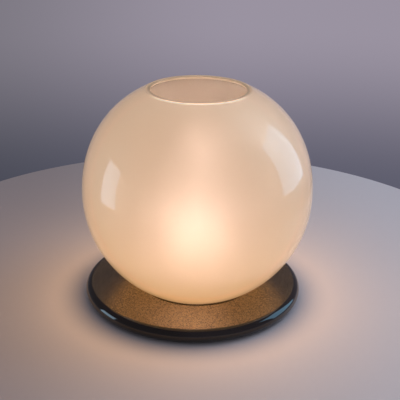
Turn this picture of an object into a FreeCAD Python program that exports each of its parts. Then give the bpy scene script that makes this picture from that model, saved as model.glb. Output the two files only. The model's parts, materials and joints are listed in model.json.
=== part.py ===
import FreeCAD, Part
import math
import os

# Table lamp: an opal glass globe, open at the top, standing on a heavy turned metal disc.
# A bulb stands upright inside, in a screw holder at the middle of the disc.
# Millimetres, +Z up. The origin lies on the table, straight below the middle of the globe.
# The cable inlet is at the rear, +Y. The viewer stands at -Y.

V = FreeCAD.Vector

# Clearances
seat_gap = 0.3          # between curved faces of pieces that lift or turn
thread_gap = 0.05       # between a screw thread and its hole
push_gap = 0.1          # between a piece and the recess that it is pushed into

# Base disc
disc_radius = 120.7
disc_thickness = 14.7
disc_height_off_table = 1.5
disc_roof = 3.5         # metal left above the wiring recess
recess_radius = 56.0

# Foot ring, in a groove of the underside
foot_radius = 106.0
foot_width = 9.0
foot_thickness = 2.0

# Cover plate of the wiring recess
cover_radius = 67.7
cover_thickness = 1.5
cover_set_in = 0.2      # how far the plate lies above the disc's underside
cover_screw_circle = 61.5
cover_screw_count = 4
cover_screw_turn = 45.0
cover_screw_length = 8.0  # above the cover plate
cover_slot_depth = 0.6
countersink_rim = 0.3   # straight wall left above a countersink

# Screws
screw_radius = 1.9
screw_head_radius = 3.6
screw_head_height = 2.0
screw_slot_width = 0.9
screw_slot_depth = 0.8
small_screw_radius = 1.4
small_screw_head_radius = 2.4
small_screw_head_height = 1.2
small_slot_depth = 0.5
small_screw_bite = 2.1  # how far a small screw goes into the disc
blind_hole_room = 0.4   # left beyond the end of a screw in a blind hole

# Cable inlet bush
cord_hole_radius = 3.25
bush_wall = 1.3
bush_length = 18.0
bush_flange_width = 2.5
bush_flange_thickness = 2.0
bush_set_back = 1.2     # from the disc's rim to the outer face of the flange
cable_hole_run_in = 3.0 # how far the drilled hole runs on into the wiring recess

# Terminal block
block_pole_pitch = 8.0
block_poles = 3
block_depth = 18.0
block_height = 8.4
block_behind_middle = 32.0
wire_hole_radius = 1.5
wire_hole_height = 3.4  # above the underside of the block
clamp_screw_radius = 1.9
clamp_screw_inset = 0.4
clamp_edge_wall = 2.0   # from a clamp screw to the block's front or rear face

# Leads
lead_radius = 0.9
lead_spacing = 1.8      # from the middle of the hollow stem to each lead
lead_above_cover = 0.5
lead_in_block = 5.4     # how far a lead runs into its pole
lead_straight = 2.0     # how far a lead runs straight out of the block
earth_lead_bends = ((11.0, 7.5), (25.0, 6.0))  # right of the pole and before the block
earth_lead_on_tag = 3.5
earth_place = (34.0, -8.0)
earth_tag_radius = 4.0
earth_tag_thickness = 0.7
earth_tag_tongue = 7.0
earth_tag_tongue_width = 3.2

# Hollow threaded stem that holds the lamp holder down
stem_radius = 4.9
stem_bore_radius = 4.0
stem_below_nut = 0.8
nut_across_flats = 14.0
nut_thickness = 3.0
washer_radius = 9.0
washer_thickness = 0.8

# Collar that keeps the globe in its place
collar_plate_thickness = 2.0
collar_height = 7.0
collar_wall = 2.0
collar_screw_circle = 38.0
collar_screw_count = 3
collar_screw_turn = 30.0
collar_screw_length = 4.6

# Glass globe
globe_radius = 125.0
globe_half_height = 124.4
upper_fullness = 2.14   # 2 is an ellipse; more is squarer in the shoulder
lower_fullness = 1.98
glass_wall = 4.0
mouth_radius = 55.2
mouth_bore_depth = 2.5  # how far the mouth's ground bore goes down
foot_opening_radius = 64.9
foot_bore_depth = 1.2
glass_edge_round = 0.5
globe_shift = 4.0       # the globe stands this far to the right of the disc's middle
seat_ring_thickness = 1.0
seat_ring_set_in = 0.5

# Lamp holder
holder_radius = 19.0
holder_wall = 1.6
cap_height = 12.0
cap_floor = 2.2
cap_boss_radius = 8.0
cap_boss_height = 4.2
core_ledge_width = 1.6
core_underside = 7.5    # above the collar plate
core_floor = 3.0
core_height = 23.0
skirt_lip = 2.5
skirt_lip_width = 2.4
sleeve_wall = 0.5
sleeve_set_in = 0.5     # below the top of the ceramic insert
contact_thickness = 0.8
contact_width = 6.0
contact_reach = 9.0
contact_pad_radius = 3.0
contact_leaf_end = 1.0  # how far the leaf goes on beyond its pad
side_contact_height = 12.5

# Bulb
bulb_cap_radius = 13.1
bulb_cap_wall = 0.5
bulb_cap_length = 20.5
tip_radius = 4.8
tip_height = 1.5
insulator_height = 4.0
insulator_foot_radius = 5.6
bulb_radius = 22.5
bulb_length = 73.0
bulb_glass = 0.8
bulb_neck_radius = 12.4
bulb_neck_in_cap = 4.5
bulb_neck_bend = 10.0
stem_foot_thickness = 2.0
stem_glass_radius = 3.0
stem_glass_height = 19.0
filament_count = 4
filament_radius = 0.9
filament_length = 26.0
filament_circle = 7.5
filament_turn = 45.0
driver_radius = 9.0
driver_height = 9.0

# Heights worked out from the sizes above
underside = disc_height_off_table
disc_top = underside + disc_thickness
cover_bottom = underside + cover_set_in
cover_top = cover_bottom + cover_thickness
roof = disc_top - disc_roof
rim_round = disc_thickness / 2
cable_height = underside + rim_round
plate_top = disc_top + collar_plate_thickness
stem_bottom = roof - washer_thickness - nut_thickness - stem_below_nut
stem_top = plate_top + cap_boss_height
core_bottom = plate_top + core_underside
core_floor_top = core_bottom + core_floor
core_top = core_bottom + core_height
skirt_top = core_top + skirt_lip
lug_bottom = core_bottom - contact_thickness
contact_top = core_floor_top + 2 * contact_thickness
bulb_bottom = contact_top + seat_gap
bulb_middle = bulb_bottom + bulb_length - bulb_radius
bulb_cap_bottom = bulb_bottom + tip_height + insulator_height
bulb_cap_top = bulb_cap_bottom + bulb_cap_length
glass_foot = disc_top + seat_ring_thickness
base_x = -globe_shift


def superellipse_height(radius, width, height, fullness):
    """Height above the equator at which the globe's wall has this radius."""
    return height * (1 - (radius / width) ** fullness) ** (1 / fullness)


def superellipse_radius(rise, width, height, fullness):
    """Radius of the globe's wall at this height above or below the equator."""
    return width * (1 - (rise / height) ** fullness) ** (1 / fullness)


inner_width = globe_radius - glass_wall
inner_height = globe_half_height - glass_wall
mouth_rise = superellipse_height(mouth_radius, globe_radius, globe_half_height, upper_fullness)
foot_drop = superellipse_height(foot_opening_radius, globe_radius, globe_half_height, lower_fullness)
equator = glass_foot + foot_drop
mouth = equator + mouth_rise
foot_bore_radius = superellipse_radius(foot_drop - foot_bore_depth, inner_width, inner_height,
                                       lower_fullness)
sleeve_radius = bulb_cap_radius + seat_gap + sleeve_wall
core_bore_radius = sleeve_radius + push_gap
core_radius = holder_radius - holder_wall - push_gap
collar_radius = foot_bore_radius - globe_shift - seat_gap


def cylinder(radius, low, high, x=0.0, y=0.0):
    """Upright cylinder between two heights."""
    return Part.makeCylinder(radius, high - low, V(x, y, low))


def ring(outer, inner, low, high, x=0.0, y=0.0):
    """Upright ring between two heights."""
    return cylinder(outer, low, high, x, y).cut(cylinder(inner, low - 1, high + 1, x, y))


def block(x_low, x_high, y_low, y_high, z_low, z_high):
    """Box between two corners."""
    return Part.makeBox(x_high - x_low, y_high - y_low, z_high - z_low, V(x_low, y_low, z_low))


def turned(edges):
    """Solid turned about the Z axis from a closed outline in the XZ plane."""
    face = Part.Face(Part.Wire(Part.__sortEdges__(edges)))
    return face.revolve(V(0, 0, 0), V(0, 0, 1), 360)


def line(start, end):
    """Straight stretch of an outline, given as (radius, height) pairs."""
    return Part.LineSegment(V(start[0], 0, start[1]), V(end[0], 0, end[1])).toShape()


def arc(middle, radius, first, last):
    """Arc of an outline about a (radius, height) pair, between two angles in degrees."""
    spots = [math.radians(first + (last - first) * share) for share in (0, 0.5, 1)]
    ends = [V(middle[0] + radius * math.cos(a), 0, middle[1] + radius * math.sin(a)) for a in spots]
    return Part.Arc(*ends).toShape()


def around(count, circle, first=0.0):
    """Places evenly spaced on a circle about the base's axis."""
    for i in range(count):
        angle = math.radians(first + 360 * i / count)
        yield base_x + circle * math.cos(angle), circle * math.sin(angle)


def slotted_head(radius, low, high, slot_low, slot_high, x, y):
    """Round screw head with a straight slot."""
    slot = block(x - 2 * radius, x + 2 * radius, y - screw_slot_width / 2,
                 y + screw_slot_width / 2, slot_low, slot_high)
    return cylinder(radius, low, high, x, y).cut(slot)


def rounded_path(points):
    """Straight runs joined by tangent arcs, each as large as its two runs allow."""
    bend_share = 0.45
    edges = []
    start = points[0]
    for before, corner, after in zip(points, points[1:], points[2:]):
        inward = (corner - before).normalize()
        onward = (after - corner).normalize()
        turn = inward.getAngle(onward)
        cut = bend_share * min(before.distanceToPoint(corner), corner.distanceToPoint(after))
        print("bend radius", round(cut / math.tan(turn / 2), 2))
        first = corner - inward * cut
        last = corner + onward * cut
        bisector = (onward - inward).normalize()
        nearest = corner + bisector * cut * math.tan(turn / 4)
        edges.append(Part.LineSegment(start, first).toShape())
        edges.append(Part.Arc(first, nearest, last).toShape())
        start = last
    edges.append(Part.LineSegment(start, points[-1]).toShape())
    return Part.Wire(edges)


def wire_solid(points, radius):
    """Round wire along a path."""
    path = rounded_path(points)
    circle = Part.Wire(Part.Circle(points[0], points[1] - points[0], radius).toShape())
    solid = path.makePipeShell([circle], True, True)
    print("wire volume over section times length",
          round(solid.Volume / (math.pi * radius ** 2 * path.Length), 4))
    return solid


def base_disc():
    """Heavy turned disc with a full round rim, a wiring recess below and the cable's way in."""
    rim_middle = (disc_radius - rim_round, cable_height)
    edges = [line((0, underside), (rim_middle[0], underside)),
             arc(rim_middle, rim_round, -90, 90),
             line((rim_middle[0], disc_top), (0, disc_top)),
             line((0, disc_top), (0, underside))]
    solid = turned(edges)
    solid.translate(V(base_x, 0, 0))
    cuts = [cylinder(recess_radius, underside - 1, roof, base_x),
            cylinder(cover_radius + push_gap, underside - 1, cover_top, base_x),
            ring(foot_radius + push_gap, foot_radius - foot_width - push_gap,
                 underside - 1, foot_thickness, base_x),
            cylinder(stem_radius + thread_gap, roof - 1, disc_top + 1, base_x)]
    for x, y in around(cover_screw_count, cover_screw_circle, cover_screw_turn):
        cuts.append(cylinder(screw_radius + thread_gap, underside,
                             cover_top + cover_screw_length + blind_hole_room, x, y))
    for x, y in around(collar_screw_count, collar_screw_circle, collar_screw_turn):
        cuts.append(cylinder(screw_radius + thread_gap, roof - 1, disc_top + 1, x, y))
    for x, y in (block_screw_place(), earth_screw_place()):
        cuts.append(cylinder(small_screw_radius + thread_gap, roof - 1,
                             roof + small_screw_bite + blind_hole_room, x, y))
    cuts.append(along_y(cord_hole_radius + bush_wall + push_gap, recess_radius - cable_hole_run_in,
                        disc_radius + 1))
    cuts.append(along_y(bush_flange_radius() + push_gap, bush_flange_inner(), disc_radius + 1))
    return solid.cut(cuts)


def along_y(radius, near, far):
    """Cylinder along the cable's way in, between two distances behind the base's axis."""
    return Part.makeCylinder(radius, far - near, V(base_x, near, cable_height), V(0, 1, 0))


def bush_flange_radius():
    """Outer radius of the bush's flange."""
    return cord_hole_radius + bush_flange_width


def bush_flange_inner():
    """Distance behind the base's axis at which the flange meets its seat in the rim."""
    return disc_radius - bush_set_back - bush_flange_thickness


def cable_bush():
    """Soft bush that lines the hole in the rim where the cable comes in."""
    seat = bush_flange_inner()
    body = along_y(cord_hole_radius + bush_wall, seat - bush_length, seat)
    flange = along_y(bush_flange_radius(), seat, seat + bush_flange_thickness)
    bore = along_y(cord_hole_radius, seat - bush_length - 1, seat + bush_flange_thickness + 1)
    return body.fuse(flange).cut(bore).removeSplitter()


def foot_ring():
    """Soft ring that the lamp stands on, glued into its groove."""
    return ring(foot_radius, foot_radius - foot_width, 0, foot_thickness, base_x)


def base_cover():
    """Sheet cover of the wiring recess, with countersunk holes."""
    solid = cylinder(cover_radius, cover_bottom, cover_top, base_x)
    cuts = []
    for x, y in around(cover_screw_count, cover_screw_circle, cover_screw_turn):
        cuts.append(cylinder(screw_radius + push_gap, cover_bottom - 1, cover_top + 1, x, y))
        cuts.append(countersink(x, y, push_gap))
    return solid.cut(cuts)


def countersink(x, y, gap):
    """Cone of a countersunk head that lies flush with the cover, larger by a gap."""
    depth = cover_thickness - countersink_rim
    return Part.makeCone(screw_radius + depth + gap, screw_radius + gap, depth, V(x, y, cover_bottom))


def cover_screws():
    """Countersunk screws of the cover plate."""
    screws = []
    for x, y in around(cover_screw_count, cover_screw_circle, cover_screw_turn):
        shank = cylinder(screw_radius, cover_bottom, cover_top + cover_screw_length, x, y)
        reach = 2 * screw_head_radius
        slot = block(x - reach, x + reach, y - screw_slot_width / 2, y + screw_slot_width / 2,
                     cover_bottom - 1, cover_bottom + cover_slot_depth)
        screws.append(shank.fuse(countersink(x, y, 0)).cut(slot))
    return Part.makeCompound(screws)


def block_screw_place():
    """Where the terminal block's own screw goes up into the disc."""
    return base_x + block_pole_pitch / 2, block_behind_middle


def earth_screw_place():
    """Where the earth tag is screwed to the disc."""
    return base_x + earth_place[0], earth_place[1]


def block_bottom():
    """Height of the terminal block's underside. Its top lies against the recess's roof."""
    return roof - block_height


def pole_places():
    """Middle of each pole of the terminal block, left to right."""
    first = base_x - block_pole_pitch * (block_poles - 1) / 2
    return [first + block_pole_pitch * i for i in range(block_poles)]


def clamp_places():
    """Where each clamp screw of the terminal block stands: two to a pole."""
    reach = block_depth / 2 - clamp_edge_wall - clamp_screw_radius
    return [(x, block_behind_middle + side * reach) for x in pole_places() for side in (-1, 1)]


def terminal_block():
    """Insulating block that joins the cable to the leads, three poles wide."""
    half_width = block_pole_pitch * block_poles / 2
    front = block_behind_middle - block_depth / 2
    rear = block_behind_middle + block_depth / 2
    low = block_bottom()
    solid = block(base_x - half_width, base_x + half_width, front, rear, low, roof)
    cuts = []
    for x in pole_places():
        cuts.append(Part.makeCylinder(wire_hole_radius, block_depth + 2,
                                      V(x, front - 1, low + wire_hole_height), V(0, 1, 0)))
    for x, y in clamp_places():
        cuts.append(cylinder(clamp_screw_radius + push_gap, low - 1, low + wire_hole_height, x, y))
    x, y = block_screw_place()
    cuts.append(cylinder(small_screw_radius + push_gap, low - 1, roof + 1, x, y))
    cuts.append(cylinder(small_screw_head_radius + push_gap, low - 1,
                         low + small_screw_head_height, x, y))
    return solid.cut(cuts)


def terminal_screws():
    """Clamp screws of the terminal block, turned from below."""
    low = block_bottom() + clamp_screw_inset
    high = block_bottom() + wire_hole_height - lead_radius - push_gap
    return Part.makeCompound([slotted_head(clamp_screw_radius, low, high, low - 1,
                                           low + small_slot_depth, x, y)
                              for x, y in clamp_places()])


def block_screw():
    """Screw that holds the terminal block up against the roof of the recess."""
    x, y = block_screw_place()
    low = block_bottom()
    head = slotted_head(small_screw_head_radius, low, low + small_screw_head_height,
                        low - 1, low + small_slot_depth, x, y)
    shank = cylinder(small_screw_radius, low + small_screw_head_height, roof + small_screw_bite, x, y)
    return head.fuse(shank)


def lead_route(pole, side):
    """Route of a lead from its pole, under the hollow stem and up to its contact."""
    front = block_behind_middle - block_depth / 2
    low = cover_top + lead_above_cover + lead_radius
    x = pole_places()[pole]
    up = base_x + side * lead_spacing
    return [V(x, front + lead_in_block, block_bottom() + wire_hole_height),
            V(x, front - lead_straight, block_bottom() + wire_hole_height),
            V((x + up) / 2, front / 2, low),
            V(up, 0, low),
            V(up, 0, lug_bottom)]


def live_lead():
    """Insulated lead from the block to the centre contact."""
    return wire_solid(lead_route(0, -1), lead_radius)


def neutral_lead():
    """Insulated lead from the block to the side contact."""
    return wire_solid(lead_route(block_poles - 1, 1), lead_radius)


def earth_lead():
    """Earth lead from the middle pole to its tag on the disc."""
    front = block_behind_middle - block_depth / 2
    low = block_bottom() + wire_hole_height
    x = pole_places()[1]
    tag_x, tag_y = earth_screw_place()
    tag_low = roof - earth_tag_thickness - lead_radius
    joint_y = tag_y + earth_tag_radius + earth_tag_tongue
    (first_x, first_y), (second_x, second_y) = earth_lead_bends
    return wire_solid([V(x, front + lead_in_block, low),
                       V(x, front - lead_straight, low),
                       V(x + first_x, front - first_y, (low + tag_low) / 2),
                       V(x + second_x, front - second_y, tag_low),
                       V(tag_x, joint_y - earth_lead_on_tag, tag_low)], lead_radius)


def earth_tag():
    """Ring tag under the earth screw, with a tongue for the lead."""
    x, y = earth_screw_place()
    low = roof - earth_tag_thickness
    eye = cylinder(earth_tag_radius, low, roof, x, y)
    half = earth_tag_tongue_width / 2
    tongue = block(x - half, x + half, y, y + earth_tag_radius + earth_tag_tongue, low, roof)
    return eye.fuse(tongue).cut(cylinder(small_screw_radius + push_gap, low - 1, roof + 1, x, y))


def earth_screw():
    """Screw that holds the earth tag to the disc."""
    x, y = earth_screw_place()
    high = roof - earth_tag_thickness
    low = high - small_screw_head_height
    head = slotted_head(small_screw_head_radius, low, high, low - 1, low + small_slot_depth, x, y)
    return head.fuse(cylinder(small_screw_radius, high, roof + small_screw_bite, x, y))


def hollow_stem():
    """Threaded tube that ties the lamp holder to the disc and carries the leads."""
    return ring(stem_radius, stem_bore_radius, stem_bottom, stem_top, base_x)


def stem_nut():
    """Hexagon nut of the hollow stem, inside the recess."""
    high = roof - washer_thickness
    low = high - nut_thickness
    corner = nut_across_flats / math.sqrt(3)
    corners = [V(base_x + corner * math.cos(math.radians(60 * i)),
                 corner * math.sin(math.radians(60 * i)), low) for i in range(7)]
    prism = Part.Face(Part.makePolygon(corners)).extrude(V(0, 0, high - low))
    return prism.cut(cylinder(stem_radius + thread_gap, low - 1, high + 1, base_x))


def lock_washer():
    """Washer between the nut and the roof of the recess."""
    return ring(washer_radius, stem_radius + push_gap, roof - washer_thickness, roof, base_x)


def globe_collar():
    """Shallow dish on the disc, whose rim keeps the globe from sliding off."""
    plate = cylinder(collar_radius, disc_top, plate_top, base_x)
    wall = ring(collar_radius, collar_radius - collar_wall, disc_top, disc_top + collar_height, base_x)
    cuts = [cylinder(stem_radius + push_gap, disc_top - 1, plate_top + 1, base_x)]
    for x, y in around(collar_screw_count, collar_screw_circle, collar_screw_turn):
        cuts.append(cylinder(screw_radius + push_gap, disc_top - 1, plate_top + 1, x, y))
    return plate.fuse(wall).removeSplitter().cut(cuts)


def collar_screws():
    """Cheese-head screws of the collar."""
    screws = []
    for x, y in around(collar_screw_count, collar_screw_circle, collar_screw_turn):
        high = plate_top + screw_head_height
        head = slotted_head(screw_head_radius, plate_top, high, high - screw_slot_depth, high + 1, x, y)
        screws.append(head.fuse(cylinder(screw_radius, plate_top - collar_screw_length, plate_top, x, y)))
    return Part.makeCompound(screws)


def globe_curve(width, height, fullness, sign, end_height):
    """Smooth stretch of the globe's outline from the equator to a height above or below it."""
    steps = 12
    last = math.asin(min(1, (end_height / height) ** (fullness / 2)))
    points = []
    for i in range(steps + 1):
        angle = last * i / steps
        radius = width * math.cos(angle) ** (2 / fullness)
        rise = height * math.sin(angle) ** (2 / fullness)
        points.append(V(radius, 0, equator + sign * rise))
    curve = Part.BSplineCurve()
    curve.interpolate(Points=points)
    return curve.toShape(), (points[-1].x, points[-1].z)


def glass_globe():
    """Blown globe, cut flat above and below, with ground rims and bored mouths."""
    upper, mouth_edge = globe_curve(globe_radius, globe_half_height, upper_fullness, 1, mouth_rise)
    lower, foot_edge = globe_curve(globe_radius, globe_half_height, lower_fullness, -1, foot_drop)
    inner_upper, inner_mouth = globe_curve(inner_width, inner_height, upper_fullness, 1,
                                           mouth_rise - mouth_bore_depth)
    inner_lower, inner_foot = globe_curve(inner_width, inner_height, lower_fullness, -1,
                                          foot_drop - foot_bore_depth)
    edges = [lower, upper,
             line(mouth_edge, (inner_mouth[0], mouth_edge[1])),
             line((inner_mouth[0], mouth_edge[1]), inner_mouth),
             inner_upper, inner_lower,
             line(inner_foot, (inner_foot[0], foot_edge[1])),
             line((inner_foot[0], foot_edge[1]), foot_edge)]
    solid = turned(edges)
    rims = [edge for edge in solid.Edges if is_rim(edge, mouth_edge[1]) or is_rim(edge, foot_edge[1])]
    return solid.makeFillet(min(glass_edge_round, mouth_bore_depth / 3, foot_bore_depth / 3), rims)


def is_rim(edge, height):
    """True for a whole circle that lies at a height."""
    tolerance = 0.001
    box = edge.BoundBox
    return edge.isClosed() and box.ZLength < tolerance and abs(box.ZMin - height) < tolerance


def seat_ring():
    """Thin soft ring under the globe's ground foot, which keeps glass off metal."""
    return ring(foot_opening_radius - seat_ring_set_in, foot_bore_radius + seat_ring_set_in,
                disc_top, glass_foot)


def holder_cap():
    """Lower cup of the lamp holder, screwed onto the hollow stem."""
    inner = holder_radius - holder_wall
    ledge = inner - core_ledge_width
    top = plate_top + cap_height
    solid = cylinder(holder_radius, plate_top, top, base_x)
    room = cylinder(ledge, plate_top + cap_floor, top, base_x)
    room = room.cut(cylinder(cap_boss_radius, plate_top, plate_top + cap_boss_height, base_x))
    seat = cylinder(inner, core_bottom, top + 1, base_x)
    bore = cylinder(stem_radius + thread_gap, plate_top - 1, top, base_x)
    return solid.cut([room, seat, bore]).removeSplitter()


def holder_core():
    """Ceramic insert that holds the contacts and the threaded sleeve."""
    solid = cylinder(core_radius, core_bottom, core_top, base_x)
    bore = cylinder(core_bore_radius, core_floor_top, core_top + 1, base_x)
    half = contact_width / 2 + push_gap
    leg = block(base_x - contact_reach - push_gap, base_x - contact_reach + contact_thickness + push_gap,
                -half, half, core_bottom - 1, core_floor_top + 1)
    tab_inner = base_x + sleeve_radius + thread_gap
    tab = block(tab_inner - push_gap, tab_inner + contact_thickness + push_gap, -half, half,
                core_bottom - 1, core_bottom + side_contact_height + push_gap)
    return solid.cut([bore, leg, tab])


def holder_skirt():
    """Upper ring of the lamp holder, which clamps the insert down onto the cup."""
    inner = holder_radius - holder_wall
    body = ring(holder_radius, inner, plate_top + cap_height, core_top, base_x)
    lip = ring(holder_radius, holder_radius - holder_wall - skirt_lip_width, core_top, skirt_top, base_x)
    return body.fuse(lip).removeSplitter()


def thread_sleeve():
    """Metal sleeve that the bulb's cap screws into."""
    return ring(sleeve_radius, sleeve_radius - sleeve_wall, core_floor_top, core_top - sleeve_set_in,
                base_x)


def centre_contact():
    """Live contact: a leaf on the insert's floor with a pad, a leg and a solder lug below."""
    half = contact_width / 2
    left = base_x - contact_reach
    top = core_floor_top + contact_thickness
    leaf = block(left, base_x + contact_pad_radius + contact_leaf_end, -half, half, core_floor_top, top)
    pad = cylinder(contact_pad_radius, top, contact_top, base_x)
    leg = block(left, left + contact_thickness, -half, half, lug_bottom, top)
    lug = block(left, base_x - lead_spacing + lead_radius, -half, half, lug_bottom, core_bottom)
    return leaf.fuse([pad, leg, lug]).removeSplitter()


def side_contact():
    """Neutral contact: a tab beside the sleeve, with a solder lug below the insert."""
    half = contact_width / 2
    inner = base_x + sleeve_radius + thread_gap
    tab = block(inner, inner + contact_thickness, -half, half, lug_bottom,
                core_bottom + side_contact_height)
    lug = block(base_x + lead_spacing - lead_radius, inner + contact_thickness, -half, half,
                lug_bottom, core_bottom)
    return tab.fuse(lug).removeSplitter()


def bulb_tip():
    """Centre contact of the bulb."""
    return cylinder(tip_radius, bulb_bottom, bulb_bottom + tip_height, base_x)


def bulb_insulator():
    """Glass cone between the bulb's centre contact and its cap."""
    return Part.makeCone(insulator_foot_radius, bulb_cap_radius - bulb_cap_wall / 2,
                         insulator_height, V(base_x, 0, bulb_bottom + tip_height))


def bulb_cap():
    """Screw cap of the bulb, a thin shell that stands on the insulator's edge."""
    return ring(bulb_cap_radius, bulb_cap_radius - bulb_cap_wall, bulb_cap_bottom, bulb_cap_top, base_x)


def bulb_shape(gap, low):
    """Solid in the bulb's outer shape, drawn in by a gap: a neck, a bend and a ball."""
    neck = bulb_neck_radius - gap
    ball = bulb_radius - gap
    bend = bulb_neck_bend + gap
    drop = math.sqrt((ball + bend) ** 2 - (neck + bend) ** 2)
    bend_end = math.degrees(math.atan2(drop, -(neck + bend)))
    bend_middle = (neck + bend, bulb_middle - drop)
    edges = [line((0, low), (neck, low)),
             line((neck, low), (neck, bend_middle[1])),
             arc(bend_middle, bend, 180, bend_end),
             arc((0, bulb_middle), ball, bend_end - 180, 90),
             line((0, bulb_middle + ball), (0, low))]
    solid = turned(edges)
    solid.translate(V(base_x, 0, 0))
    return solid


def bulb_envelope():
    """Frosted glass of the bulb."""
    low = bulb_cap_top - bulb_neck_in_cap
    return bulb_shape(0, low).cut(bulb_shape(bulb_glass, low - 1))


def bulb_stem():
    """Glass stem that carries the filaments, sealed into the bulb's neck."""
    low = bulb_cap_top - bulb_neck_in_cap
    high = low + stem_foot_thickness
    foot = cylinder(bulb_neck_radius - bulb_glass - thread_gap, low, high, base_x)
    return foot.fuse(cylinder(stem_glass_radius, high, high + stem_glass_height, base_x))


def led_filaments():
    """Glowing rods that stand in a ring on the stem's foot."""
    low = bulb_cap_top - bulb_neck_in_cap + stem_foot_thickness
    rods = []
    for x, y in around(filament_count, filament_circle, filament_turn):
        rods.append(cylinder(filament_radius, low, low + filament_length, x, y))
    return Part.makeCompound(rods)


def bulb_driver():
    """Small round circuit board and parts inside the bulb's cap, as one block."""
    return cylinder(driver_radius, bulb_cap_bottom, bulb_cap_bottom + driver_height, base_x)


PIECES = [base_disc, foot_ring, base_cover, cover_screws, cable_bush, terminal_block, terminal_screws,
          block_screw, live_lead, neutral_lead, earth_lead, earth_tag, earth_screw, hollow_stem,
          stem_nut, lock_washer, globe_collar, collar_screws, seat_ring, glass_globe, holder_cap,
          holder_core, holder_skirt, thread_sleeve, centre_contact, side_contact, bulb_tip,
          bulb_insulator, bulb_cap, bulb_envelope, bulb_stem, led_filaments, bulb_driver]

os.makedirs("parts", exist_ok=True)
for make in PIECES:
    shape = make()
    shape.exportStep(f"parts/{make.__name__}.step")
    box = shape.BoundBox
    print(make.__name__, shape.isValid(), len(shape.Solids), round(shape.Volume / 1000, 2), "cm3,",
          f"x {box.XMin:.1f}..{box.XMax:.1f} y {box.YMin:.1f}..{box.YMax:.1f} z {box.ZMin:.1f}..{box.ZMax:.1f}")
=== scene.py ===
# %% [markdown]
# # A glass globe table lamp
#
# The lamp is an opal glass ball, open at the top, that stands on a heavy dark disc. Its bulb is lit.
# This script dresses the lamp's parts for a picture. The parts come in at their real size and place,
# in metres, with +Z up and the viewer at -Y, so nothing here is moved to fit.

# %% Load the parts
import json
import math
import bmesh
import bpy
from mathutils import Matrix, Vector


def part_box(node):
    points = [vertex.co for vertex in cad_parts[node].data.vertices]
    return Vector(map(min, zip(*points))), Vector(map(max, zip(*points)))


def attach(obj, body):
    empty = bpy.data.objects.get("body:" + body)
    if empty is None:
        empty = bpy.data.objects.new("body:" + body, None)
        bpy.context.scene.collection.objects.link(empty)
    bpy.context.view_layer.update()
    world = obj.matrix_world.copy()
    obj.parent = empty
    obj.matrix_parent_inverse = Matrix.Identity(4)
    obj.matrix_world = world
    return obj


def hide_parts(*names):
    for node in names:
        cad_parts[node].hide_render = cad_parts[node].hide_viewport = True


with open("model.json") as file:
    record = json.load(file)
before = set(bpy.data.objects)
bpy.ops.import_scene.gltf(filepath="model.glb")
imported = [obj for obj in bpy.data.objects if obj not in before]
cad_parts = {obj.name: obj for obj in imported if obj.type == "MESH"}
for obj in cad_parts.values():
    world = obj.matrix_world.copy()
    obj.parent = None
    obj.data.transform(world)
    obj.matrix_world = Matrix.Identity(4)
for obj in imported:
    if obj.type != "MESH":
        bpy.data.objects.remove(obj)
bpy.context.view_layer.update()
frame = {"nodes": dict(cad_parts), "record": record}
nodes = frame["nodes"]
scene = bpy.context.scene
scene.view_settings.view_transform = "Standard"

# %% [markdown]
# ## Sizes read from the parts
#
# The pieces made below have to sit on the parts that carry them. So every place is worked out from the
# boxes of the loaded parts, and only the glass's curve and the cap's thread have numbers of their own.

# %% Read the main sizes
MM = 0.001
disc_low, disc_high = (Vector(corner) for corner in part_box("base_disc"))
globe_low, globe_high = (Vector(corner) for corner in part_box("glass_globe"))
bulb_low, bulb_high = (Vector(corner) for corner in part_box("bulb_envelope"))
cap_low, cap_high = (Vector(corner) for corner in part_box("bulb_cap"))

disc_axis = Vector(((disc_low.x + disc_high.x) / 2, (disc_low.y + disc_high.y) / 2, 0))
disc_radius = (disc_high.x - disc_low.x) / 2
rim_round = (disc_high.z - disc_low.z) / 2
globe_radius = (globe_high.x - globe_low.x) / 2
bulb_radius = (bulb_high.x - bulb_low.x) / 2
bulb_middle = Vector((disc_axis.x, disc_axis.y, bulb_high.z - bulb_radius))
print("disc radius", round(disc_radius, 4), "globe radius", round(globe_radius, 4),
      "bulb middle", [round(v, 4) for v in bulb_middle])

# %% [markdown]
# ## A shorthand for node trees
#
# Shader and geometry nodes both do sums, and a sum of ten nodes is hard to read as ten nodes. So one small
# class wraps a socket and overloads the operators: `1 - mask * 0.5` adds its own Math nodes. Vectors and
# colours go through Vector Math and Mix, because a Math node would turn them grey.

# %% Wrap a socket
class Signal:
    """The output socket of a node, with Python's operators."""

    def __init__(self, graph, socket):
        self.graph = graph
        self.socket = socket

    def math(self, operation, other=None):
        """A Math node on this value, or on this value and another."""
        inputs = {0: self} if other is None else {0: self, 1: other}
        return self.graph.add("ShaderNodeMath", {"operation": operation}, inputs)

    def reflected(self, operation, other):
        """A Math node with the other value first."""
        return self.graph.add("ShaderNodeMath", {"operation": operation}, {0: other, 1: self})

    def __add__(self, other):
        return self.math("ADD", other)

    def __sub__(self, other):
        return self.math("SUBTRACT", other)

    def __rsub__(self, other):
        return self.reflected("SUBTRACT", other)

    def __mul__(self, other):
        return self.math("MULTIPLY", other)

    def __truediv__(self, other):
        return self.math("DIVIDE", other)

    def __rtruediv__(self, other):
        return self.reflected("DIVIDE", other)

    def __pow__(self, other):
        return self.math("POWER", other)

    def __gt__(self, other):
        return self.math("GREATER_THAN", other)

    def __lt__(self, other):
        return self.math("LESS_THAN", other)

    __radd__ = __add__
    __rmul__ = __mul__

    def blend(self, low, high, bottom=0.0, top=1.0):
        """Smooth step from bottom to top as the value goes from low to high."""
        inputs = {"Value": self, "From Min": low, "From Max": high, "To Min": bottom, "To Max": top}
        return self.graph.add("ShaderNodeMapRange", {"interpolation_type": "SMOOTHSTEP"}, inputs)


print("a signal knows", [name for name, part in vars(Signal).items() if callable(part)])

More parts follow.
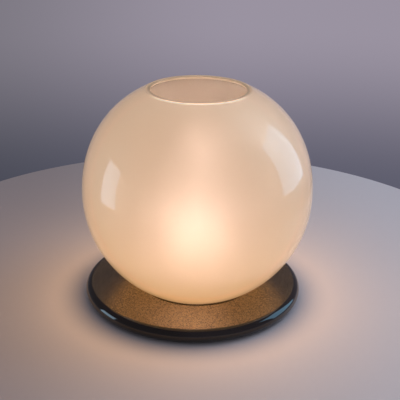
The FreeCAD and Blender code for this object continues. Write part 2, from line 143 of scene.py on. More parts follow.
# %% Write a node tree
class Graph:
    """A node tree that is being written."""

    def __init__(self, tree):
        self.tree = tree

    def add(self, kind, settings=None, inputs=None, output=0):
        """Adds a node: its settings first, then the values or links of its sockets."""
        node = self.tree.nodes.new(kind)
        for name, value in (settings or {}).items():
            setattr(node, name, value)
        for name, value in (inputs or {}).items():
            self.join(value, node.inputs[name])
        return Signal(self, node.outputs[output])

    def join(self, value, socket):
        """Links a signal to a socket, or writes a plain value into it."""
        if isinstance(value, Signal):
            self.tree.links.new(value.socket, socket)
        else:
            socket.default_value = value

    def split(self, vector):
        """The three numbers of a vector."""
        node = self.add("ShaderNodeSeparateXYZ", inputs={0: vector}).socket.node
        return [Signal(self, out) for out in node.outputs]

    def place(self):
        """The place of a point on its own object."""
        return self.add("ShaderNodeTexCoord", output="Object")


print("a graph knows", [name for name, part in vars(Graph).items() if callable(part)])

# %% [markdown]
# ## The camera
#
# The picture was taken with a longish lens from about 22 degrees above the lamp's middle, and the camera
# was held a touch askew. The place, tilt and lens below make the ball, its mouth and the disc land where
# they do in the picture.

# %% Place the camera
CAMERA_SENSOR = 36.0        # this and the lens are in millimetres, as a camera takes them
CAMERA_LENS = 78.1
CAMERA_NEAR = 10 * MM
CAMERA_DISTANCE = 947.2 * MM
CAMERA_RISE = math.radians(22.231)
CAMERA_DIP = math.radians(22.894)
CAMERA_YAW = math.radians(0.194)
CAMERA_ROLL = math.radians(0.757)
GLOBE_MIDDLE = Vector((0, 0, 123.1 * MM))


def add_camera():
    """Camera at the picture's viewpoint."""
    data = bpy.data.cameras.new("picture_camera")
    data.sensor_width = CAMERA_SENSOR
    data.lens = CAMERA_LENS
    data.clip_start = CAMERA_NEAR
    camera = bpy.data.objects.new("picture_camera", data)
    scene.collection.objects.link(camera)
    away = Vector((0, -math.cos(CAMERA_RISE), math.sin(CAMERA_RISE)))
    forward = Vector((math.sin(CAMERA_YAW) * math.cos(CAMERA_DIP),
                      math.cos(CAMERA_YAW) * math.cos(CAMERA_DIP), -math.sin(CAMERA_DIP)))
    side = forward.cross(Vector((0, 0, 1))).normalized()
    above = side.cross(forward)
    right = side * math.cos(CAMERA_ROLL) + above * math.sin(CAMERA_ROLL)
    up = right.cross(forward)
    turn = Matrix((right, up, -forward)).transposed()
    camera.matrix_world = Matrix.Translation(GLOBE_MIDDLE + away * CAMERA_DISTANCE) @ turn.to_4x4()
    scene.camera = camera
    print("camera at", [round(v, 3) for v in camera.location])


add_camera()

# %% [markdown]
# ## Pieces that follow a rule
#
# A blown ball and a screw cap are both shells whose radius follows from height and angle. The Spin tool or a
# Screw modifier would turn a drawn outline, but Geometry Nodes can hold the rule itself. So each shell starts
# as a flat grid. Its columns become the way round, and its rows run up the outside and back down the inside.
# The last column and the last row fall on the first ones, and are merged with them.

# %% Start a geometry tree
def new_tree(name, sizes):
    """An empty geometry tree with a named number input for each size."""
    tree = bpy.data.node_groups.new(name, "GeometryNodeTree")
    tree.interface.new_socket("Geometry", in_out="OUTPUT", socket_type="NodeSocketGeometry")
    for size in sizes:
        tree.interface.new_socket(size, in_out="INPUT", socket_type="NodeSocketFloat")
    entry = tree.nodes.new("NodeGroupInput")
    graph = Graph(tree)
    print(name, "takes", list(sizes))
    return graph, {out.name: Signal(graph, out) for out in entry.outputs if out.name}


# %% Lay out a shell and close it
SKIN_MARK = "outside"
SEAM_GAP = 0.001 * MM


def shell_grid(graph, columns, steps):
    """A flat grid, the angle round the axis, the share of the height, and 1 on the outer wall."""
    rows = 2 * steps + 3
    grid = graph.add("GeometryNodeMeshGrid", inputs={"Vertices X": columns + 1, "Vertices Y": rows})
    index = graph.add("GeometryNodeInputIndex")
    row = index.math("MODULO", rows)
    angle = (index / rows).math("FLOOR") * (2 * math.pi / columns)
    share = row.math("MINIMUM", 2 * steps + 1 - row).math("MAXIMUM", 0) / steps
    outer = (row < steps + 0.5) + (row > 2 * steps + 1.5)
    return grid, angle, share, outer


def end_shell(graph, grid, angle, radius, height, outer, material):
    """Puts the grid's points in place, marks the outer skin, closes the seams and gives a material."""
    place = graph.add("ShaderNodeCombineXYZ", inputs={
        "X": radius * angle.math("COSINE"), "Y": radius * angle.math("SINE"), "Z": height})
    shell = graph.add("GeometryNodeSetPosition", inputs={"Geometry": grid, "Position": place})
    shell = graph.add("GeometryNodeStoreNamedAttribute", {"data_type": "FLOAT", "domain": "POINT"},
                      {"Geometry": shell, "Name": SKIN_MARK, "Value": outer})
    shell = graph.add("GeometryNodeMergeByDistance", inputs={"Geometry": shell, "Distance": SEAM_GAP})
    shell = graph.add("GeometryNodeSetShadeSmooth", inputs={"Geometry": shell})
    shell = graph.add("GeometryNodeRealizeInstances", inputs={"Geometry": shell})
    shell = graph.add("GeometryNodeSetMaterial", inputs={"Geometry": shell, "Material": material})
    output = graph.tree.nodes.new("NodeGroupOutput")
    graph.join(shell, output.inputs["Geometry"])
    print(graph.tree.name, "has", len(graph.tree.nodes), "nodes")


# %% Keep a shell as a plain mesh
BEVEL_SEGMENTS = 2
BEVEL_ANGLE = math.radians(15)


def face_outwards(mesh):
    """Turns every face of a closed shell outwards."""
    work = bmesh.new()
    work.from_mesh(mesh)
    bmesh.ops.recalc_face_normals(work, faces=work.faces)
    if work.calc_volume(signed=True) < 0:
        bmesh.ops.reverse_faces(work, faces=work.faces)
    work.to_mesh(mesh)
    work.free()
    mesh.shade_smooth()


def grow(name, tree, sizes, material, middle, bevel=0.0):
    """Runs a tree with its sizes and keeps the result as a plain mesh, moved to its axis."""
    piece = bpy.data.objects.new(name, bpy.data.meshes.new(name))
    scene.collection.objects.link(piece)
    modifier = piece.modifiers.new("shape", "NODES")
    modifier.node_group = tree
    for socket in tree.interface.items_tree:
        if socket.in_out == "INPUT":
            modifier[socket.identifier] = sizes[socket.name]
    if bevel:
        edge = piece.modifiers.new("edge", "BEVEL")
        edge.width = bevel
        edge.segments = BEVEL_SEGMENTS
        edge.limit_method = "ANGLE"
        edge.angle_limit = BEVEL_ANGLE
    bpy.context.view_layer.update()
    mesh = bpy.data.meshes.new_from_object(piece.evaluated_get(bpy.context.evaluated_depsgraph_get()))
    piece.modifiers.clear()
    piece.data = mesh
    mesh.transform(Matrix.Translation((middle.x, middle.y, 0)))
    mesh.materials.clear()
    mesh.materials.append(material)
    face_outwards(mesh)
    print(name, "has", len(mesh.polygons), "faces")
    return piece


# %% [markdown]
# ## Finishes
#
# Each finish is a Principled shader. Its steady values are written straight on its sockets, and what
# changes over the surface is worked out from object coordinates, so it stays put in every view. A noise
# seldom leaves the middle of its range, so most masks stretch that middle to the whole.

# %% Start a finish
NOISE_MIDDLE = (0.3, 0.7)


def finish_named(name, roughness, **fixed):
    """A new material with its graph and shader. The other values are set on the shader's sockets."""
    material = bpy.data.materials.new(name)
    material.use_nodes = True
    tree = material.node_tree
    shader = tree.nodes["Principled BSDF"]
    shader.inputs["Roughness"].default_value = roughness
    for socket, value in fixed.items():
        shader.inputs[socket.replace("_", " ")].default_value = value
    return material, Graph(tree), shader


def speckle(graph, place, scale, detail=2.0, roughness=0.5):
    """Noise between 0 and 1, with its scale in patches per metre."""
    return graph.add("ShaderNodeTexNoise", inputs={
        "Vector": place, "Scale": scale, "Detail": detail, "Roughness": roughness})


def bump(graph, shader, height, distance):
    """Feeds a height into the shader's normal."""
    graph.join(graph.add("ShaderNodeBump", inputs={"Height": height, "Distance": distance}),
               shader.inputs["Normal"])


print("a noise is stretched from", NOISE_MIDDLE)

# %% Mix colours and numbers
def tint(graph, factor, first, second):
    """A colour between two others."""
    mix = graph.add("ShaderNodeMix", {"data_type": "RGBA"}, {0: factor}, output=2)
    for colour, socket in zip((first, second), mix.socket.node.inputs[6:8]):
        graph.join(colour if isinstance(colour, Signal) else (*colour, 1.0), socket)
    return mix


def scaled(graph, colour, factor):
    """A colour times a number."""
    return graph.add("ShaderNodeVectorMath", {"operation": "SCALE"}, {0: colour, "Scale": factor})


def added(graph, first, second):
    """The sum of two colours."""
    return graph.add("ShaderNodeVectorMath", {"operation": "ADD"}, {0: first, 1: second})


def tint_value(factor, first, second):
    """A number between two others."""
    return first + (second - first) * factor


def dimmed(colour, share):
    """A plain colour at a share of its brightness."""
    return tuple(share * part for part in colour)


print("halfway from 0.2 to 0.6 is", tint_value(0.5, 0.2, 0.6))

# %% [markdown]
# ## Opal glass
#
# Opal glass is clear glass with a fine milk in it. It lets light through but scatters it, so the lit bulb
# shows as a wide soft patch and the whole ball glows. A full simulation of the milk would be slow and grainy.
# So a rough shader that lets most light through carries the patch. A light of its own on the outer skin
# carries the even glow, and part of it falls off with the square of the distance from the bulb, as the
# bulb's light does. A painted highlight draws one thin bright line along the front of the mouth's outer edge.

# %% Glow of the glass
GLOW_EVEN = (0.165, 0.111, 0.072)
GLOW_CLOUD = 0.1
GLOW_LOW = (0.460, 0.215, 0.036)
GLOW_REACH = 80 * MM        # GLOW_LOW holds at this distance from the bulb's middle
EDGE_PAINTED_HIGHLIGHT = (0.60, 0.50, 0.40)
EDGE_DEPTH = 0.6 * MM
EDGE_SKIN = 0.87            # the skin's mark, above which a bevel belongs to the outer edge
EDGE_FRONT = (0.10, 0.42)   # shares of the radius towards the viewer, where the painted highlight fades in


def glass_glow(graph, place, cloud, outside, shining):
    """The colour of the light that the skin gives off, and the painted highlight at the front of the mouth's
    edge.
    """
    x, y, z = graph.split(place)
    side = (x - bulb_middle.x) ** 2 + (y - bulb_middle.y) ** 2
    nearness = GLOW_REACH ** 2 / (side + (z - bulb_middle.z) ** 2)
    even = scaled(graph, GLOW_EVEN, cloud * GLOW_CLOUD + (1 - GLOW_CLOUD / 2))
    glow = scaled(graph, added(graph, even, scaled(graph, GLOW_LOW, nearness)), shining)
    # Painted highlight: a thin bright line on the front of the mouth's outer edge, fading out towards the
    # sides.
    forward = (-1.0 * y / globe_radius).blend(*EDGE_FRONT)
    painted_edge_highlight = (z > globe_high.z - EDGE_DEPTH) * (outside > EDGE_SKIN) * forward
    return added(graph, glow, scaled(graph, EDGE_PAINTED_HIGHLIGHT, painted_edge_highlight))


print("low glow on the wall beside the bulb, as a share:", round((GLOW_REACH / globe_radius) ** 2, 2))

# %% [markdown]
# ## Polished skin and ground cuts
#
# A coat is the polish. Outside it reflects as glass does, little when seen straight and much at the ball's
# edge. Inside it reflects more, and throws a second, fainter patch of the bulb above the first, as the curved
# back wall does in the picture. The cut rims and the short bores next to them are ground, so they have no
# polish. Painted shade makes the mouth's cut darker, and its glow weaker, where its upward face would catch
# more light than the shoulder. Painted shade also makes the inner wall darker than the outer one.

# %% Opal glass
GLASS_PALE = (0.80, 0.75, 0.68)
GLASS_DEEP = (0.74, 0.69, 0.62)
GLASS_IOR = 1.45
CLOUD_SCALE = 9.0
MILK_SCALE = 800.0
MILK_RANGE = (0.40, 0.60)
MILK_ROUGHNESS = (0.62, 0.74)
OUTER_SKIN = 0.9            # the skin's mark, above which a point lies on the outer wall
SKIN_FADE = (0.2, 0.8)      # the skin's marks between which inner finish becomes outer
# Painted shade: the inner wall's colour as a share of the outer one
INNER_PAINTED_SHADE = 0.65
RIM_DEPTH = 0.5 * MM        # how far the ground finish reaches down the outside
GROUND_DEPTH = 3.0 * MM     # and down the bores
CUT_PAINTED_SHADE = 0.35
GROUND_GLOW = 0.6
GROUND_SCALE = 3000.0
GROUND_BUMP = 0.03 * MM
COAT_SHARE = 2.5


def opal_glass():
    material, graph, shader = finish_named(
        "opal_glass", 0.6, Coat_Roughness=0.02, Coat_IOR=4.0, IOR=GLASS_IOR, Transmission_Weight=0.70,
        Emission_Strength=1.0)
    place = graph.place()
    z = graph.split(place)[2]
    outside = graph.add("ShaderNodeAttribute", {"attribute_name": SKIN_MARK}, output="Fac")
    cloud = speckle(graph, place, CLOUD_SCALE, detail=1.0)
    depth = tint_value(outside > OUTER_SKIN, GROUND_DEPTH, RIM_DEPTH)
    ground = (globe_high.z - z < depth).math("MAXIMUM", z - globe_low.z < depth)
    # Painted shade: the mouth's cut is darker and glows less, as its upward face catches more light.
    cut_painted_shade = 1.0 - (z > globe_high.z - RIM_DEPTH) * CUT_PAINTED_SHADE
    shining = outside.blend(*SKIN_FADE).math("MAXIMUM", ground * GROUND_GLOW) * cut_painted_shade
    graph.join(glass_glow(graph, place, cloud, outside, shining), shader.inputs["Emission Color"])
    grain = speckle(graph, place, MILK_SCALE, detail=1.0).blend(*MILK_RANGE, *MILK_ROUGHNESS)
    graph.join(grain, shader.inputs["Roughness"])
    # Painted shade darkens the inner wall and the mouth's cut.
    shade = outside.blend(*SKIN_FADE, INNER_PAINTED_SHADE, 1.0) * cut_painted_shade
    graph.join(scaled(graph, tint(graph, cloud, GLASS_DEEP, GLASS_PALE), shade), shader.inputs["Base Color"])
    gloss = (graph.add("ShaderNodeFresnel", inputs={"IOR": GLASS_IOR}) * COAT_SHARE).math("MINIMUM", 1.0)
    graph.join((1.0 - ground) * tint_value(outside, 1.0, gloss), shader.inputs["Coat Weight"])
    bump(graph, shader, speckle(graph, place, GROUND_SCALE, detail=1.0) * ground, GROUND_BUMP)
    return material


opal = opal_glass()
print(opal.name, "has", len(opal.node_tree.nodes), "nodes")

# %% [markdown]
# ## The glass globe
#
# The ball is a shade flatter than a sphere and a little square in its shoulder, so its outline is a
# superellipse with one fullness above its middle and another below. It is cut flat above and below. The
# inner wall follows the same rule, 4 mm in, and each cut is bored straight for a few millimetres. The skin
# is set in by a twentieth of a millimetre, so that it nowhere stands out of the part's own box.

# %% Write the globe's rule
GLASS_HALF_HEIGHT = 124.4 * MM
GLASS_WALL = 4.0 * MM
SKIN_INSET = 0.05 * MM
UPPER_FULLNESS = 2.14
LOWER_FULLNESS = 1.98
FOOT_RADIUS = 64.9 * MM
MOUTH_BORE_DEPTH = 2.5 * MM
FOOT_BORE_DEPTH = 1.2 * MM


def outline(offset, reach, fullness):
    """How wide a superellipse is at an offset along its reach, as a share of its full width."""
    return (1 - (offset / reach) ** fullness) ** (1 / fullness)


foot_drop = GLASS_HALF_HEIGHT * outline(FOOT_RADIUS, globe_radius, LOWER_FULLNESS)
glass_middle = globe_low.z + foot_drop
inner_width = globe_radius - GLASS_WALL
inner_height = GLASS_HALF_HEIGHT - GLASS_WALL
mouth_rise = globe_high.z - glass_middle - MOUTH_BORE_DEPTH
mouth_bore = inner_width * outline(mouth_rise, inner_height, UPPER_FULLNESS)
foot_bore = inner_width * outline(foot_drop - FOOT_BORE_DEPTH, inner_height, LOWER_FULLNESS)
print("ball's middle", round(glass_middle, 5), "mouth bore", round(mouth_bore, 5),
      "foot bore", round(foot_bore, 5))

# %% Grow the globe
GLOBE_COLUMNS = 180
GLOBE_STEPS = 110
CUT_BEVEL = 0.5 * MM
globe_sizes = {"Width": globe_radius - SKIN_INSET, "Half height": GLASS_HALF_HEIGHT, "Wall": GLASS_WALL,
               "Middle": glass_middle, "Foot": globe_low.z, "Mouth": globe_high.z,
               "Mouth bore": mouth_bore, "Foot bore": foot_bore,
               "Upper fullness": UPPER_FULLNESS, "Lower fullness": LOWER_FULLNESS}


def globe_tree(material):
    graph, size = new_tree("blown_globe", globe_sizes)
    grid, angle, share, outer = shell_grid(graph, GLOBE_COLUMNS, GLOBE_STEPS)
    height = size["Foot"] + (size["Mouth"] - size["Foot"]) * share
    rise = height - size["Middle"]
    upper = rise > 0
    fullness = tint_value(upper, size["Lower fullness"], size["Upper fullness"])
    inset = size["Wall"] * (1 - outer)
    level = (rise.math("ABSOLUTE") / (size["Half height"] - inset)).math("MINIMUM", 1.0)
    radius = (size["Width"] - inset) * (1 - level ** fullness) ** (1 / fullness)
    bore = tint_value(upper, size["Foot bore"], size["Mouth bore"]) * (1 - outer)
    end_shell(graph, grid, angle, radius.math("MAXIMUM", bore), height, outer, material)
    return graph.tree


globe = grow("opal_globe", globe_tree(opal), globe_sizes, opal, Vector((0, 0, 0)), bevel=CUT_BEVEL)

# %% [markdown]
# ## The bulb's screw cap
#
# The cap's thread is rolled from thin metal, so it is a soft wave that climbs one pitch for each turn, inside
# and out. The radius is a cosine of the height less the angle's share of the pitch. The wave fades out at
# both ends, where the real cap runs plain. Faint rings round the metal are left from the rolling.

# %% Cap metal
CAP_PALE = (0.78, 0.77, 0.75)
CAP_DARK = (0.70, 0.69, 0.67)
CAP_ROUGHNESS = (0.24, 0.42)
RING_SCALE = 900.0
RING_STRETCH = 0.1          # the noise runs this much slower round the cap than along it


def cap_metal():
    material, graph, shader = finish_named("cap_metal", 0.3, Metallic=1.0)
    x, y, z = graph.split(graph.place())
    along = graph.add("ShaderNodeCombineXYZ", inputs={0: x * RING_STRETCH, 1: y * RING_STRETCH, 2: z})
    streak = speckle(graph, along, RING_SCALE)
    graph.join(streak.blend(*NOISE_MIDDLE, *CAP_ROUGHNESS), shader.inputs["Roughness"])
    graph.join(tint(graph, streak, CAP_DARK, CAP_PALE), shader.inputs["Base Color"])
    return material


cap_finish = cap_metal()
print(cap_finish.name, "has", len(cap_finish.node_tree.nodes), "nodes")

# %% Grow the screw cap
CAP_COLUMNS = 72
CAP_STEPS = 60
THREAD_PITCH = 3.629 * MM
THREAD_DEPTH = 0.85 * MM
CAP_WALL = 0.35 * MM
THREAD_START = (0.04, 0.14)   # shares of the cap's height between which the wave fades in
THREAD_END = (0.97, 0.88)     # and between which it fades out, from the top down
cap_sizes = {"Low": cap_low.z, "High": cap_high.z, "Crest": (cap_high.x - cap_low.x) / 2,
             "Pitch": THREAD_PITCH, "Depth": THREAD_DEPTH, "Wall": CAP_WALL}


def cap_tree(material):
    graph, size = new_tree("screw_cap", cap_sizes)
    grid, angle, share, outer = shell_grid(graph, CAP_COLUMNS, CAP_STEPS)
    height = size["Low"] + (size["High"] - size["Low"]) * share
    fade = share.blend(*THREAD_START) * share.blend(*THREAD_END)
    turns = height / size["Pitch"] - angle / (2 * math.pi)
    wave = (turns * (2 * math.pi)).math("COSINE") * 0.5 - 0.5
    radius = size["Crest"] + wave * size["Depth"] * fade - size["Wall"] * (1 - outer)
    end_shell(graph, grid, angle, radius, height, outer, material)
    return graph.tree


cap = grow("threaded_cap", cap_tree(cap_finish), cap_sizes, cap_finish, disc_axis)

# %% [markdown]
# ## The disc
#
# The disc is one turned piece of dark metal with two finishes. Its flat top is browned, with a fine pepper
# grain and dull specks, and shows a soft brown reflection of the glowing ball. The specks are less metallic,
# so they stay visible where there is nothing bright to reflect. Its round rim is polished nearly black. A
# mask on the radius changes one finish into the other, because they meet in a clean turned circle.

# %% Disc finish
TOP_COLOUR = (0.32, 0.226, 0.104)
TOP_DARK = (0.042, 0.028, 0.019)
TOP_ROUGHNESS = (0.11, 0.07)
PEPPER_SCALE = 900.0
PEPPER_RANGE = (0.36, 0.62)
PEPPER_BUMP = 0.04 * MM
PATCH_SCALE = 60.0
PATCH_SHARE = 0.2
SPECK_COLOUR = (0.17, 0.15, 0.155)
SPECK_SCALE = 1300.0
SPECK_RANGE = (0.50, 0.62)
SPECK_SHARE = 0.5
SPECK_DULL = 0.6
RIM_COLOUR = (0.010, 0.007, 0.006)
RIM_METALLIC = 0.02
RIM_ROUGHNESS = 0.06
RIM_COAT = 0.15
POLISH_START = -0.3 * MM    # from the circle where the flat top ends
POLISH_END = 1.2 * MM


def disc_finish():
    material, graph, shader = finish_named("disc_metal", 0.3, Coat_Roughness=0.015, Coat_IOR=1.6)
    place = graph.place()
    x, y = graph.split(place)[:2]
    radius = ((x - disc_axis.x) ** 2 + (y - disc_axis.y) ** 2).math("SQRT")
    flat_radius = disc_radius - rim_round
    polished = radius.blend(flat_radius + POLISH_START, flat_radius + POLISH_END)
    pepper = speckle(graph, place, PEPPER_SCALE, detail=3.0, roughness=0.7).blend(*PEPPER_RANGE)
    speck = speckle(graph, place, SPECK_SCALE, detail=1.0).blend(*SPECK_RANGE)
    patch = speckle(graph, place, PATCH_SCALE)
    top = tint(graph, pepper * (1 - PATCH_SHARE) + patch * PATCH_SHARE, TOP_DARK, TOP_COLOUR)
    top = tint(graph, speck * SPECK_SHARE, top, SPECK_COLOUR)
    graph.join(tint(graph, polished, top, RIM_COLOUR), shader.inputs["Base Color"])
    graph.join(tint_value(polished, 1.0 - speck * SPECK_DULL, RIM_METALLIC), shader.inputs["Metallic"])
    roughness = tint_value(polished, pepper.blend(0.0, 1.0, *TOP_ROUGHNESS), RIM_ROUGHNESS)
    graph.join(roughness, shader.inputs["Roughness"])
    graph.join(polished * RIM_COAT, shader.inputs["Coat Weight"])
    bump(graph, shader, pepper * (1.0 - polished), PEPPER_BUMP)
    print("polished from radius", round(flat_radius, 4), "out to", round(disc_radius, 4))
    return material


# %% [markdown]
# ## The other finishes
#
# The rest of the lamp is plain stock: turned and pressed steel, moulded plastic, porcelain, brass and rubber.
# Four recipes cover them. Each has its own small variation at the real scale, such as the streaks of drawn
# metal or the faint cloud of a moulding, so no surface is one flat colour.

# %% Recipes for metal and mouldings
STREAK_STRETCH = 0.15       # the noise runs this much slower along the streaks
STREAK_DIM = 0.86
STREAK_SWAY = 0.07          # in roughness, either way
MOULD_CLOUD_SCALE = 40.0
MOULD_GRAIN_SCALE = 1500.0
MOULD_DIM = 0.88
MOULD_SWAY = 0.05


def plated(name, colour, roughness, streak_scale=500.0):
    """Metal with fine streaks in its roughness and a slight change of colour."""
    material, graph, shader = finish_named(name, roughness, Metallic=1.0)
    x, y, z = graph.split(graph.place())
    along = graph.add("ShaderNodeCombineXYZ", inputs={0: x, 1: y * STREAK_STRETCH, 2: z})
    drawn = speckle(graph, along, streak_scale, detail=3.0)
    graph.join(tint(graph, drawn, dimmed(colour, STREAK_DIM), colour), shader.inputs["Base Color"])
    sway = drawn.blend(*NOISE_MIDDLE, roughness - STREAK_SWAY, roughness + STREAK_SWAY)
    graph.join(sway, shader.inputs["Roughness"])
    return material


def moulded(name, colour, roughness, grain=0.02 * MM):
    """Plastic or rubber with a faint cloud and a fine grain."""
    material, graph, shader = finish_named(name, roughness)
    place = graph.place()
    cloud = speckle(graph, place, MOULD_CLOUD_SCALE)
    fine = speckle(graph, place, MOULD_GRAIN_SCALE, detail=1.0)
    graph.join(tint(graph, cloud, dimmed(colour, MOULD_DIM), colour), shader.inputs["Base Color"])
    sway = fine.blend(*NOISE_MIDDLE, roughness - MOULD_SWAY, roughness + MOULD_SWAY)
    graph.join(sway, shader.inputs["Roughness"])
    bump(graph, shader, fine, grain)
    return material


print("roughness sways by", STREAK_SWAY, "along streaks and by", MOULD_SWAY, "in mouldings")

# %% Recipes for glass, porcelain and lit surfaces
GLAZE_CLOUD_SCALE = 120.0
GLAZE_DIM = 0.93
LIT_STRENGTH = 25.0
LIT_CLOUD_SCALE = 80.0
LIT_CLOUD = 0.1
LIT_PALE = (0.9, 0.88, 0.85)
LIT_DEEP = (0.84, 0.82, 0.78)


def glazed(name, colour, roughness, see_through=0.0):
    """Glass or porcelain: smooth, with a faint cloud."""
    material, graph, shader = finish_named(name, roughness, IOR=1.5, Transmission_Weight=see_through)
    cloud = speckle(graph, graph.place(), GLAZE_CLOUD_SCALE)
    graph.join(tint(graph, cloud, dimmed(colour, GLAZE_DIM), colour), shader.inputs["Base Color"])
    return material


def lit(name, colour, edge_colour):
    """A surface of the bulb that shines by itself, dimmer from the bulb's middle downwards."""
    material, graph, shader = finish_named(name, 0.35, Emission_Strength=LIT_STRENGTH)
    place = graph.place()
    z = graph.split(place)[2]
    cloud = speckle(graph, place, LIT_CLOUD_SCALE)
    bright = z.blend(bulb_low.z, bulb_middle.z) * (cloud * LIT_CLOUD + (1 - LIT_CLOUD))
    graph.join(tint(graph, bright, edge_colour, colour), shader.inputs["Emission Color"])
    graph.join(tint(graph, cloud, LIT_DEEP, LIT_PALE), shader.inputs["Base Color"])
    return material


print("the lit bulb shines at", LIT_STRENGTH)

# %% Give every part its finish
finishes = {
    "disc_metal": disc_finish(),
    "clear_silicone": moulded("clear_silicone", (0.05, 0.03, 0.022), 0.4),
    "foot_rubber": moulded("foot_rubber", (0.035, 0.033, 0.032), 0.75, grain=0.05 * MM),
    "cover_steel": plated("cover_steel", (0.42, 0.42, 0.43), 0.42, streak_scale=250.0),
    "screw_steel": plated("screw_steel", (0.62, 0.62, 0.61), 0.3),
    "collar_metal": moulded("collar_metal", (0.66, 0.63, 0.58), 0.38, grain=0.01 * MM),
    "stem_steel": plated("stem_steel", (0.55, 0.55, 0.54), 0.33),
    "bush_plastic": moulded("bush_plastic", (0.03, 0.03, 0.03), 0.6),
    "block_plastic": moulded("block_plastic", (0.74, 0.72, 0.66), 0.45),
    "brass": plated("brass", (0.78, 0.58, 0.28), 0.28),
    "live_sheath": moulded("live_sheath", (0.17, 0.075, 0.035), 0.45),
    "neutral_sheath": moulded("neutral_sheath", (0.03, 0.10, 0.34), 0.45),
    "earth_sheath": moulded("earth_sheath", (0.12, 0.30, 0.05), 0.45),
    "holder_plastic": moulded("holder_plastic", (0.72, 0.70, 0.66), 0.3, grain=0.01 * MM),
    "porcelain": glazed("porcelain", (0.80, 0.78, 0.74), 0.35),
    "sleeve_metal": plated("sleeve_metal", (0.72, 0.70, 0.66), 0.25),
    "bulb_cap_metal": cap_finish,
    "bulb_black_glass": glazed("bulb_black_glass", (0.02, 0.02, 0.022), 0.12),
    "bulb_glass": lit("bulb_glass", (1.0, 0.73, 0.65), (0.60, 0.36, 0.26)),
    "clear_stem_glass": glazed("clear_stem_glass", (0.9, 0.92, 0.92), 0.05, see_through=0.9),
    "filament": lit("filament", (1.0, 0.62, 0.28), (0.9, 0.5, 0.2)),
    "driver_board": moulded("driver_board", (0.02, 0.10, 0.045), 0.4),
    "opal_glass": opal,
}
slots_of = {part["node"]: part["material_slot"] for part in frame["record"]["subparts"]}
for name, node in nodes.items():
    node.material_slots[0].material = finishes[slots_of[name]]
print("finishes:", len(finishes), "on", len(nodes), "parts")

# %% [markdown]
# ## The table
#
# The lamp stands on a pale round table. Painted shade makes its left side darker, as the light comes from
# the right. The warm pool that the lamp throws on it is a light of the table's own, because so small a bulb
# behind so rough a glass would light it with heavy grain.
# It fades as the light of a small lamp does on a flat top: with the square of the distance, and once more
# with the slant. The disc's shadow keeps it off the table's nearest stretch.

# %% Table finish
TABLE_RADIUS = 399 * MM
TABLE_MIDDLE = Vector((-3 * MM, 53 * MM, 0))
TABLE_THICKNESS = 24 * MM
# Painted shade: the table's left is darker than its right, where more light falls.
TABLE_SHADED_LEFT = (0.29, 0.25, 0.28)
TABLE_LIT_RIGHT = (0.56, 0.54, 0.62)
TABLE_CLOUD_SCALE = 3.0
TABLE_SPREAD = 0.7 * TABLE_RADIUS   # the two colours blend within this distance of the middle
TABLE_WANDER = 50 * MM
POOL_COLOUR = (1.60, 0.92, 0.46)
POOL_HEIGHT = 110 * MM
POOL_FALL = 1.5                     # of the squared distance: the spread of light, times its slant
POOL_START = -4 * MM                # from the disc's edge
POOL_FULL = 40 * MM


def table_finish():
    material, graph, shader = finish_named("table_top", 0.55, Emission_Strength=1.0)
    place = graph.place()
    cloud = speckle(graph, place, TABLE_CLOUD_SCALE, detail=3.0)
    x, y, z = graph.split(place)
    # Painted shade: the colour darkens from the lit right side to the shaded left.
    across = (x + (cloud - 0.5) * TABLE_WANDER).blend(-TABLE_SPREAD, TABLE_SPREAD)
    graph.join(tint(graph, across, TABLE_SHADED_LEFT, TABLE_LIT_RIGHT), shader.inputs["Base Color"])
    reach = (x - disc_axis.x) ** 2 + (y - disc_axis.y) ** 2
    pool = (POOL_HEIGHT ** 2 / (reach + POOL_HEIGHT ** 2)) ** POOL_FALL
    clear_of_disc = reach.math("SQRT").blend(disc_radius + POOL_START, disc_radius + POOL_FULL)
    lit_side = z > -0.5 * TABLE_THICKNESS
    graph.join(scaled(graph, POOL_COLOUR, pool * clear_of_disc * lit_side), shader.inputs["Emission Color"])
    return material


print("pool of light from", round(disc_radius + POOL_START, 4), "full at",
      round(disc_radius + POOL_FULL, 4))

# %% Table top
TABLE_SIDES = 256


def table_top():
    work = bmesh.new()
    bmesh.ops.create_cone(work, cap_ends=True, segments=TABLE_SIDES, radius1=TABLE_RADIUS,
                          radius2=TABLE_RADIUS, depth=TABLE_THICKNESS)
    bmesh.ops.translate(work, verts=work.verts, vec=TABLE_MIDDLE - Vector((0, 0, TABLE_THICKNESS / 2)))
    mesh = bpy.data.meshes.new("table_top")
    work.to_mesh(mesh)
    work.free()
    mesh.materials.append(table_finish())
    table = bpy.data.objects.new("table_top", mesh)
    scene.collection.objects.link(table)
    print("table across", 2 * TABLE_RADIUS)


table_top()

# %% [markdown]
# ## The light and the far wall
#
# Behind the table is a plain grey wall, and at each side a soft window of light. The wall is only a colour of
# the world that shows to the camera, in gloss and through glass, so it throws no light of its own. The light
# comes from an even world and one soft lamp at the right. The two windows are area lamps that show only in
# polished surfaces, as clear shapes in the glass and on the rim.

# %% World
WALL_HIGH = (0.325, 0.280, 0.330)
WALL_LOW = (0.110, 0.105, 0.140)
WALL_RISE = (-0.375, -0.195)    # a ray's upward part, where the low colour becomes the high one
LEFT_SHADE = (0.60, 0.65, 0.65)
RIGHT_SHADE = (1.0, 1.04, 1.08)
SHADE_ACROSS = (-0.30, 0.06)    # a ray's part to the right, where the left shade becomes the right one
UPPER_RISE = (0.0, 0.22)        # a ray's upward part, where the wall darkens again
UPPER_SHADE = 0.60
FILL_COLOUR = (0.94, 0.97, 1.0)
FILL_STRENGTH = 0.46


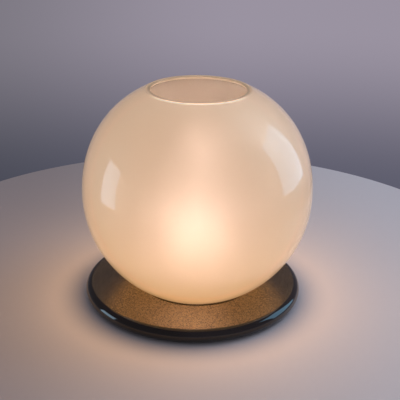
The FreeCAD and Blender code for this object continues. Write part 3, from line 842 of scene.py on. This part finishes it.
def light_world():
    world = bpy.data.worlds.new("room")
    scene.world = world
    world.use_nodes = True
    graph = Graph(world.node_tree)
    background = world.node_tree.nodes["Background"]
    path = graph.add("ShaderNodeLightPath").socket.node
    seen = Signal(graph, path.outputs["Is Camera Ray"])
    for kind in ("Is Glossy Ray", "Is Transmission Ray"):
        seen = seen.math("MAXIMUM", Signal(graph, path.outputs[kind]))
    across, _, rise = graph.split(graph.add("ShaderNodeTexCoord", output="Generated"))
    wall = tint(graph, rise.blend(*WALL_RISE), WALL_LOW, WALL_HIGH)
    shade = tint(graph, across.blend(*SHADE_ACROSS), LEFT_SHADE, RIGHT_SHADE)
    wall = graph.add("ShaderNodeVectorMath", {"operation": "MULTIPLY"}, {0: wall, 1: shade})
    wall = scaled(graph, wall, rise.blend(*UPPER_RISE, 1.0, UPPER_SHADE))
    graph.join(tint(graph, seen, dimmed(FILL_COLOUR, FILL_STRENGTH), wall), background.inputs["Color"])
    background.inputs["Strength"].default_value = 1.0
    print("world fill", FILL_STRENGTH)


light_world()

# %% Area lamps
LEFT_WINDOW_COLOUR = (0.56, 0.80, 1.0)
RIGHT_WINDOW_COLOUR = (0.36, 0.73, 1.04)
RIGHT_FILL_COLOUR = (0.82, 0.93, 1.05)


def area_lamp(name, width, height, radiance, colour, hidden_from):
    """Flat lamp of an even radiance that some kinds of ray don't see."""
    data = bpy.data.lights.new(name, "AREA")
    data.shape = "RECTANGLE"
    data.size = width
    data.size_y = height
    data.color = colour
    data.energy = radiance * math.pi * width * height
    lamp = bpy.data.objects.new(name, data)
    scene.collection.objects.link(lamp)
    for kind in hidden_from:
        setattr(lamp, "visible_" + kind, False)
    print(name, "radiance", radiance, "power", round(data.energy, 2))
    return lamp


def soft_window(name, azimuth, distance, width, low, high, radiance, colour):
    """Upright lamp that faces the globe's axis. The azimuth turns from +Y towards +X."""
    lamp = area_lamp(name, width, high - low, radiance, colour, ("camera", "diffuse", "transmission"))
    turn = math.radians(azimuth)
    lamp.location = (distance * math.sin(turn), distance * math.cos(turn), (low + high) / 2)
    lamp.rotation_euler = (math.radians(90), 0, math.pi - turn)


def soft_fill(name, azimuth, elevation, distance, size, radiance, colour):
    """Square lamp that faces the globe's middle and doesn't show in its gloss."""
    lamp = area_lamp(name, size, size, radiance, colour, ("camera", "glossy"))
    turn, lift = math.radians(azimuth), math.radians(elevation)
    toward = Vector((math.sin(turn) * math.cos(lift), math.cos(turn) * math.cos(lift), math.sin(lift)))
    lamp.location = GLOBE_MIDDLE + toward * distance
    lamp.rotation_euler = toward.to_track_quat("Z", "Y").to_euler()


soft_window("left_window", azimuth=-91, distance=1.0, width=0.35, low=-0.12, high=0.385, radiance=3.2,
            colour=LEFT_WINDOW_COLOUR)
soft_window("right_window", azimuth=80.5, distance=0.6, width=0.39, low=0.085, high=0.60, radiance=2.5,
            colour=RIGHT_WINDOW_COLOUR)
soft_fill("right_fill", azimuth=70, elevation=40, distance=2.0, size=1.2, radiance=2.4,
          colour=RIGHT_FILL_COLOUR)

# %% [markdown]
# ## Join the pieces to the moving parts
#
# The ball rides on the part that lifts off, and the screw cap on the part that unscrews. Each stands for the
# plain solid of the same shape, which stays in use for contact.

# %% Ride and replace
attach(globe, "globe")
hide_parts("glass_globe")
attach(cap, "bulb")
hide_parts("bulb_cap")
